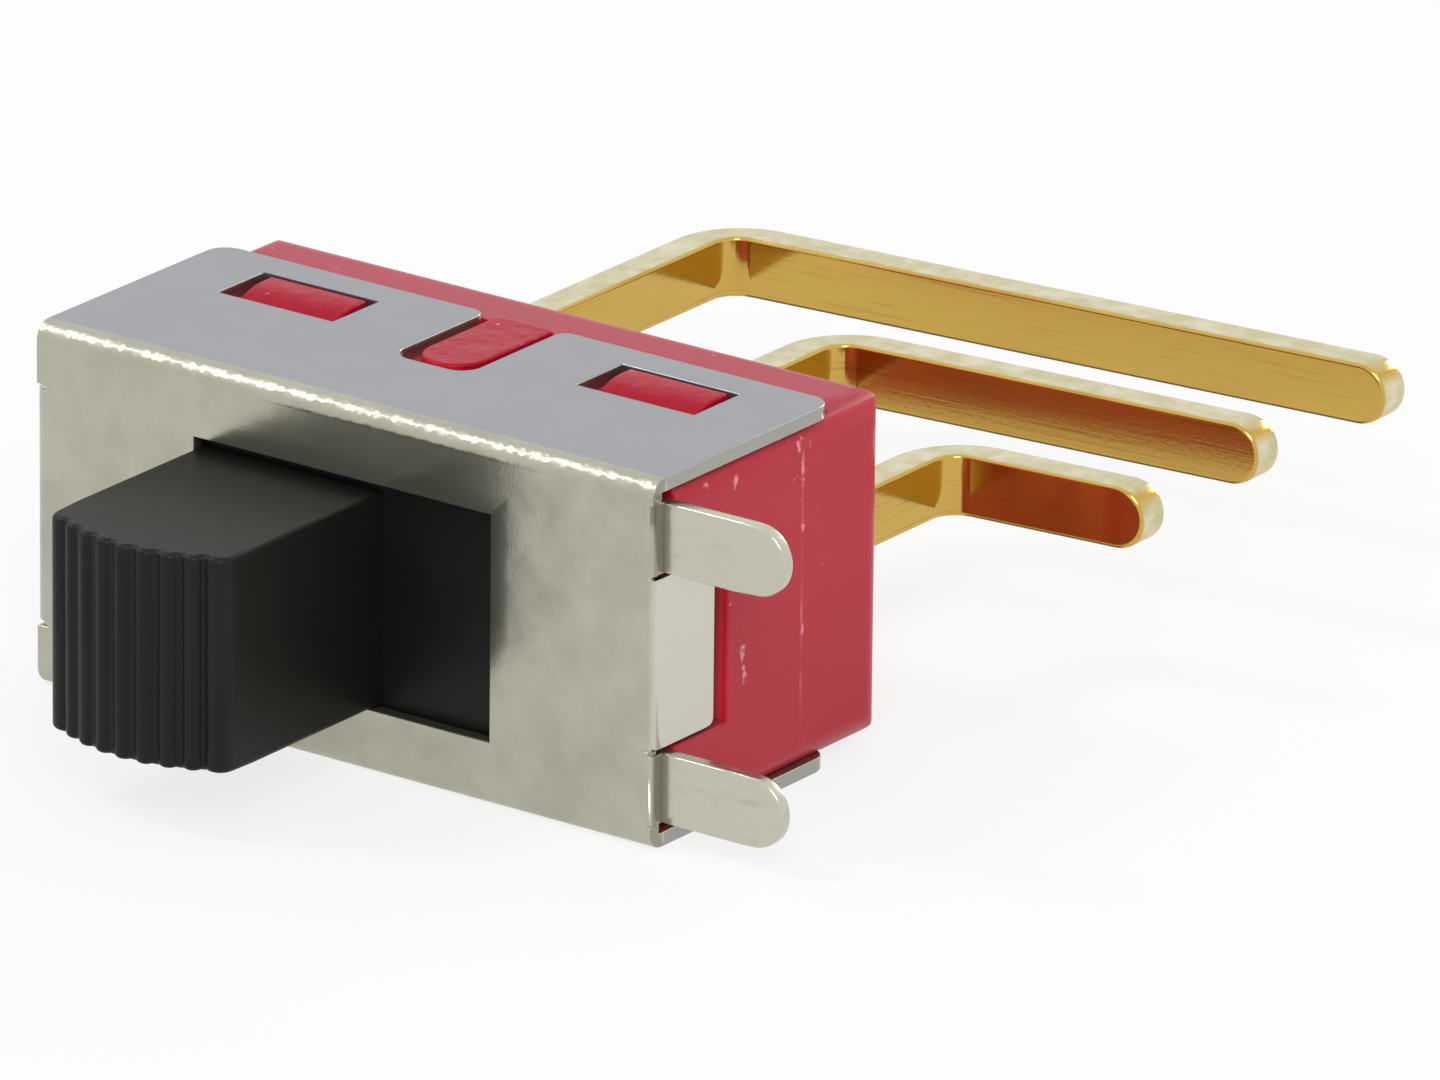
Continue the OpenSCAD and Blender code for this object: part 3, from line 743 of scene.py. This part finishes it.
@dataclass
class RoundedPiece:
    """A copy of one solid whose outer edges are rounded as making left them.

    Attributes:
        node: The solid's name in the frame.
        body: The body that it rides on.
        edge_mm: Radius of the rounded edges.
        zones: Places with a radius of their own. The first that holds an edge counts.
        steps: Faces across each rounded edge.
        least_angle: Edges that turn less than this, in degrees, stay as they are.
        crease_angle: Edges of the rounded shape that turn more than this, in degrees, shade as creases.
    """

    node: str
    body: Body
    edge_mm: float
    zones: tuple[EdgeZone, ...] = ()
    steps: int = 5
    least_angle: float = 35.0
    crease_angle: float = 25.0

    def radius(self, edge: bmesh.types.BMEdge) -> float:
        """Gives the radius of one edge, in millimetres.

        Args:
            edge: The edge.

        Returns:
            Its radius, which is 0 for an edge that stays as it is.
        """
        if len(edge.link_faces) != 2 or not edge.is_convex:
            return 0.0
        if edge.calc_face_angle(0.0) < math.radians(self.least_angle):
            return 0.0
        for zone in self.zones:
            if zone.holds(edge):
                return zone.radius_mm
        return self.edge_mm

    def build(self) -> bpy.types.Object:
        """Makes the piece in the solid's place.

        Returns:
            The new object, which rides on its body and stands for the solid.
        """
        widest = max([self.edge_mm] + [zone.radius_mm for zone in self.zones])
        mesh = bpy.data.meshes.new(f"{self.node}_rounded")
        work = bmesh.new()
        work.from_mesh(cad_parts[self.node].data)
        bmesh.ops.remove_doubles(work, verts=work.verts, dist=WELD_MM * MM)
        bmesh.ops.dissolve_limit(
            work, angle_limit=math.radians(FLAT_ANGLE), verts=work.verts, edges=work.edges)
        weight = work.edges.layers.float.new("bevel_weight_edge")
        for edge in work.edges:
            edge[weight] = self.radius(edge) / widest
        for face in work.faces:
            face.smooth = True
        work.to_mesh(mesh)
        work.free()
        piece = bpy.data.objects.new(f"{self.node}_rounded", mesh)
        bpy.context.scene.collection.objects.link(piece)
        rounding = piece.modifiers.new("rounded_edges", "BEVEL")
        rounding.limit_method = "WEIGHT"
        rounding.width = widest * MM
        rounding.segments = self.steps
        rounding.use_clamp_overlap = False
        # The rounded shape becomes the mesh, so that the creases it keeps can be marked before the normals are evened
        graph = bpy.context.evaluated_depsgraph_get()
        piece.data = bpy.data.meshes.new_from_object(piece.evaluated_get(graph), depsgraph=graph)
        piece.modifiers.clear()
        piece.data.set_sharp_from_angle(angle=math.radians(self.crease_angle))
        normals = piece.modifiers.new("even_normals", "WEIGHTED_NORMAL")
        normals.weight = LARGER_FACE_WEIGHT
        normals.keep_sharp = True
        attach(piece, self.body.value)
        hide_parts(self.node)
        log.info("%s: %d faces, edges of %.2f mm", piece.name, len(piece.data.polygons), self.edge_mm)
        return piece


def dress(piece: bpy.types.Object, material: bpy.types.Material) -> None:
    """Puts a finish on a piece.

    Args:
        piece: The object to dress.
        material: The finish's material.
    """
    piece.data.materials.clear()
    piece.data.materials.append(material)


@dataclass
class FoldedFrame:
    """The sheet-steel frame: front plate, flanges, end flaps and solder tabs, folded from one blank."""

    edge_mm: float = 0.025
    # The tabs, which are rounder than the rest, and the slits beside their roots, which are too narrow for more
    tabs: EdgeZone = EdgeZone((6.4, 0.0, 0.0), (9.0, 1.0, 3.0), 0.06)
    slits: EdgeZone = EdgeZone((6.0, -0.1, 1.4), (6.4, 0.6, 1.65), 0.01)
    finish: TinPlate = TinPlate("tin plated cold rolled steel", "tinned_steel", 0.06, 0.001)

    def build(self) -> None:
        """Makes the frame and dresses it."""
        piece = RoundedPiece("frame", Body.HOUSING, self.edge_mm, (self.tabs, self.slits)).build()
        dress(piece, self.finish.build())


@dataclass
class SealedCase:
    """The moulded case and the sealing compound in its back, whose solid is right as it is."""

    edge_mm: float = 0.05
    # The hollow behind the plate and the sealed recess, whose edges stay as they are
    inside: EdgeZone = EdgeZone((-5.9, 0.2, 0.0), (5.9, 6.6, 2.4), 0.0)
    case_finish: MouldedResin = MouldedResin("moulded crimson diallyl phthalate", "red_case", 0.12, 0.0016)
    seal_finish: CastEpoxy = CastEpoxy("cast epoxy sealing compound", "epoxy", 0.4, 0.004)

    def build(self) -> None:
        """Makes the case and its seal and dresses them."""
        case = RoundedPiece("case", Body.HOUSING, self.edge_mm, (self.inside,)).build()
        dress(case, self.case_finish.build())
        dress(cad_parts["epoxy_seal"], self.seal_finish.build())


@dataclass
class SlidingKnob:
    """The ribbed knob, moulded in one with the slider behind the plate."""

    edge_mm: float = 0.05
    # The rim round the ribs' ends, and the slider behind the plate, whose edges stay as they are
    rim: EdgeZone = EdgeZone((-3.2, -4.6, 1.6), (0.8, -0.1, 2.1), 0.1)
    behind_plate: EdgeZone = EdgeZone((-7.0, 0.2, 0.0), (7.0, 6.0, 3.2), 0.0)
    # The valleys between the ribs turn less than this
    least_angle: float = 40.0
    finish: MouldedNylon = MouldedNylon("moulded black nylon", "black_nylon", 0.05, 0.0012)

    def build(self) -> None:
        """Makes the knob and dresses it."""
        piece = RoundedPiece(
            "actuator", Body.SLIDER, self.edge_mm, (self.rim, self.behind_plate), least_angle=self.least_angle).build()
        dress(piece, self.finish.build())


@dataclass
class TerminalSet:
    """The three bent strip terminals."""

    edge_mm: float = 0.08
    nodes: tuple[str, ...] = ("terminal_left", "terminal_common", "terminal_right")
    finish: GoldPlate = GoldPlate("gold plated copper alloy strip", "gold_terminal", 0.08, 0.0006)

    def build(self) -> None:
        """Makes the terminals and dresses them."""
        material = self.finish.build()
        for node in self.nodes:
            dress(RoundedPiece(node, Body.HOUSING, self.edge_mm).build(), material)


@dataclass
class ContactMechanism:
    """The rocker, its cradle, the contacts, the plunger and its spring, all inside the case."""

    gold: tuple[str, ...] = ("rocker_contact", "pivot_cradle", "plunger")
    silver: tuple[str, ...] = ("rocker_tip_left", "rocker_tip_right", "fixed_contact_left", "fixed_contact_right")
    wire: tuple[str, ...] = ("contact_spring",)
    gold_finish: GoldPlate = GoldPlate("gold plated contact strip", "gold_contact", 0.08, 0.0006)
    silver_finish: BareMetal = BareMetal("fine silver contact faces", "silver_contact", 0.05, 0.001, "#DAD7CE", 0.25)
    wire_finish: BareMetal = BareMetal("drawn spring wire", "spring_steel", 0.03, 0.001, "#B9B9B6", 0.3)

    def dress(self) -> None:
        """Gives the inner pieces their finishes. Their solids are right as they are."""
        for nodes, finish in (
                (self.gold, self.gold_finish), (self.silver, self.silver_finish), (self.wire, self.wire_finish)):
            material = finish.build()
            for node in nodes:
                dress(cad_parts[node], material)
                log.info("%s: dressed as %s", node, finish.name)


@dataclass(frozen=True)
class Softbox:
    """A square lamp that looks at the switch.

    Attributes:
        name: The lamp's name.
        toward: Direction from the switch to the lamp.
        distance_mm: How far off it stands.
        side_mm: Length of its side.
        watts: Its power.
        tint: Its colour.
    """

    name: str
    toward: tuple[float, float, float]
    distance_mm: float
    side_mm: float
    watts: float
    tint: str = WHITE


@dataclass
class Studio:
    """A pale floor, a white surround and soft lamps.

    Attributes:
        middle_mm: The point that the lamps look at.
        floor_z_mm: Height of the floor, which the lower flange lies on.
        floor_side_mm: Length of the floor's side.
        ambient: Strength of the surround's light on matt surfaces.
        shade_kept: Share of the floor's own light and shade that shows on its white.
        card: Colour of the floor.
        lamps: The lamps.
    """

    middle_mm: tuple[float, float, float] = (1.5, 5.0, 0.0)
    floor_z_mm: float = -3.202
    floor_side_mm: float = 4000.0
    ambient: float = 0.62
    shade_kept: float = 0.2
    card: str = "#EFEFEF"
    lamps: tuple[Softbox, ...] = (
        Softbox("upper_left_softbox", (-0.566, -0.356, 0.743), 160.0, 27.0, 0.06),
        Softbox("right_softbox", (0.5, -0.6, 0.6), 170.0, 60.0, 0.085),
        Softbox("rear_softbox", (0.1, 0.93, 0.35), 180.0, 60.0, 0.1),
    )

    def build(self) -> None:
        """Makes the floor, the surround and the lamps."""
        self.lay_floor()
        self.light_surround()
        for lamp in self.lamps:
            self.hang(lamp)

    def seen_directly(self, tree: bpy.types.NodeTree) -> bpy.types.NodeSocket:
        """Tells rays that show the background from rays that light matt surfaces.

        Args:
            tree: The node tree that asks.

        Returns:
            A socket that is 1 for camera, mirror and glass rays.
        """
        path = add(tree, "LightPath").outputs
        seen = calc(tree, "MAXIMUM", path["Is Camera Ray"], path["Is Glossy Ray"])
        return calc(tree, "MAXIMUM", seen, path["Is Transmission Ray"])

    def lay_floor(self) -> None:
        """Lays the pale floor, which is white but keeps a soft share of the shadow."""
        half = self.floor_side_mm / 2 * MM
        z = self.floor_z_mm * MM
        mesh = bpy.data.meshes.new("studio_floor")
        corners = [(-half, -half, z), (half, -half, z), (half, half, z), (-half, half, z)]
        mesh.from_pydata(corners, [], [(0, 1, 2, 3)])
        floor = bpy.data.objects.new("studio_floor", mesh)
        bpy.context.scene.collection.objects.link(floor)
        material = bpy.data.materials.new("matt white card")
        material.use_nodes = True
        tree = material.node_tree
        tree.nodes.clear()
        card = add(tree, "BsdfDiffuse", {"Color": linear(self.card)})
        white = add(tree, "Emission", {"Color": linear(WHITE), "Strength": 1.0})
        share = calc(tree, "MULTIPLY", self.seen_directly(tree), 1 - self.shade_kept)
        both = add(tree, "MixShader", {0: share, 1: card.outputs[0], 2: white.outputs[0]})
        add(tree, "OutputMaterial", {"Surface": both.outputs[0]})
        mesh.materials.append(material)

    def light_surround(self) -> None:
        """Makes the surround: plain white where it is seen, and a plain level of light elsewhere."""
        world = bpy.data.worlds.new("white_surround")
        world.use_nodes = True
        tree = world.node_tree
        tree.nodes.clear()
        strength = remap(tree, self.seen_directly(tree), 0.0, 1.0, self.ambient, 1.0)
        light = add(tree, "Background", {"Color": linear(WHITE), "Strength": strength})
        add(tree, "OutputWorld", {"Surface": light.outputs[0]})
        bpy.context.scene.world = world

    def hang(self, lamp: Softbox) -> None:
        """Hangs one lamp.

        Args:
            lamp: What the lamp is and where it goes.
        """
        data = bpy.data.lights.new(lamp.name, "AREA")
        data.shape = "SQUARE"
        data.size = lamp.side_mm * MM
        data.energy = lamp.watts
        data.color = linear(lamp.tint)[:3]
        box = bpy.data.objects.new(lamp.name, data)
        toward = Vector(lamp.toward).normalized()
        box.location = (Vector(self.middle_mm) + toward * lamp.distance_mm) * MM
        box.rotation_euler = toward.to_track_quat("Z", "Y").to_euler()
        bpy.context.scene.collection.objects.link(box)


@dataclass
class PhotoCamera:
    """A long lens at the photograph's angle, aimed at the middle of the picture.

    Attributes:
        yaw: Angle round the switch from the front, in degrees.
        pitch: Angle over the horizon, in degrees.
        roll: Turn about the line of sight, in degrees.
        eye_mm: Where the lens is.
        lens_mm: Focal length.
        sensor_mm: Width of the frame that the focal length goes with.
        reach_m: Nearest and farthest distance that shows.
    """

    yaw: float = 36.0818
    pitch: float = 20.1507
    roll: float = 0.5956
    eye_mm: tuple[float, float, float] = (173.104, -226.989, 105.588)
    lens_mm: float = 463.61
    sensor_mm: float = 36.0
    reach_m: Band = (0.01, 10.0)

    def build(self) -> None:
        """Makes the camera and gives it to the scene."""
        data = bpy.data.cameras.new("photo_camera")
        data.lens = self.lens_mm
        data.sensor_width = self.sensor_mm
        data.sensor_fit = "HORIZONTAL"
        data.clip_start, data.clip_end = self.reach_m
        camera = bpy.data.objects.new("photo_camera", data)
        yaw, pitch, roll = (math.radians(a) for a in (self.yaw, self.pitch, self.roll))
        back = Vector((math.sin(yaw) * math.cos(pitch), -math.cos(yaw) * math.cos(pitch), math.sin(pitch)))
        right = Vector((math.cos(yaw), math.sin(yaw), 0.0))
        up = back.cross(right)
        turned_right = math.cos(roll) * right + math.sin(roll) * up
        turned_up = math.cos(roll) * up - math.sin(roll) * right
        turn = Matrix((turned_right, turned_up, back)).transposed().to_4x4()
        camera.matrix_world = Matrix.Translation(Vector(self.eye_mm) * MM) @ turn
        bpy.context.scene.collection.objects.link(camera)
        bpy.context.scene.camera = camera


def main() -> None:
    """Builds the dressed switch, the studio and the camera."""
    logging.basicConfig(level=logging.INFO, format="%(message)s")
    bpy.context.scene.view_settings.view_transform = "Standard"
    PhotoCamera().build()
    Studio().build()
    for part in (FoldedFrame(), SealedCase(), SlidingKnob(), TerminalSet()):
        part.build()
        log.info("%s built", type(part).__name__)
    ContactMechanism().dress()


if __name__ == "__main__":
    main()
